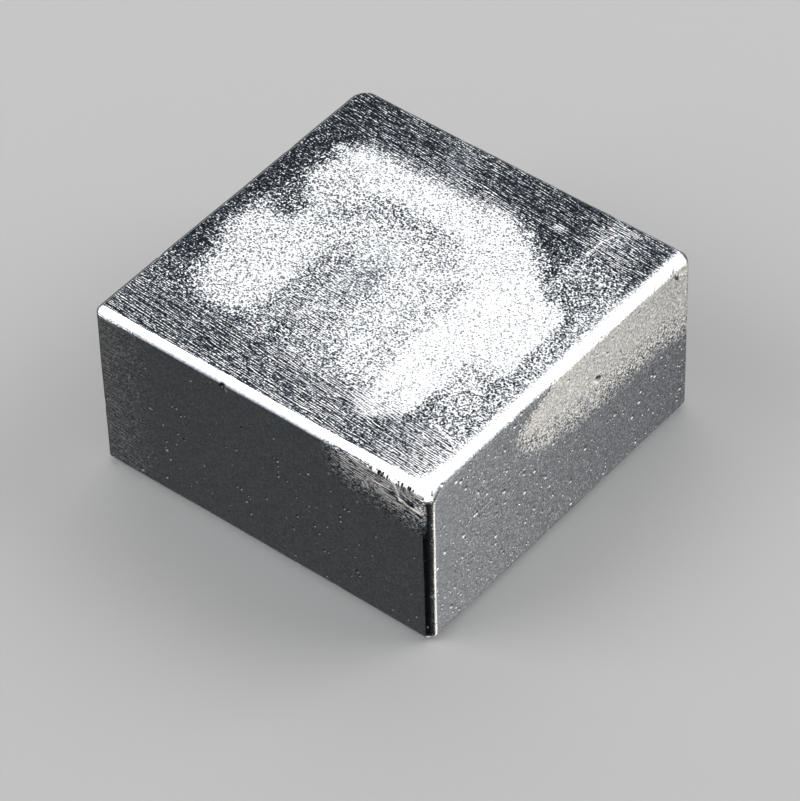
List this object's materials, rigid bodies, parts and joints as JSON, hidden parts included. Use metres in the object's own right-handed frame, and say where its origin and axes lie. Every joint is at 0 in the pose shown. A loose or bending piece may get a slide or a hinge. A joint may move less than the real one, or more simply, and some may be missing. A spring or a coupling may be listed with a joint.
{
  "type": "block magnet",
  "caption": "Square nickel-plated block magnet with ground faces and broken edges, magnetised through its thickness, standing on a pole face.",
  "frame": {"origin": "middle of the lower pole face", "axes": "+Z through the thickness, from the lower pole face to the upper one, which is the direction of magnetisation; +X and +Y square to the upright faces"},
  "size_m": [0.05, 0.05, 0.025],
  "materials": {
    "sintered_alloy": "ground, dark and granular",
    "dull_nickel": "matte plated nickel",
    "plated_copper": "satin plated copper",
    "bright_nickel": "bright plated nickel over a ground and tumbled surface, with a frosted patch, fine pits and handling scratches"
  },
  "bodies": {
    "root": {"sintered_core": "sintered_alloy", "nickel_strike": "dull_nickel", "copper_layer": "plated_copper", "nickel_topcoat": "bright_nickel"}
  },
  "joints": []
}
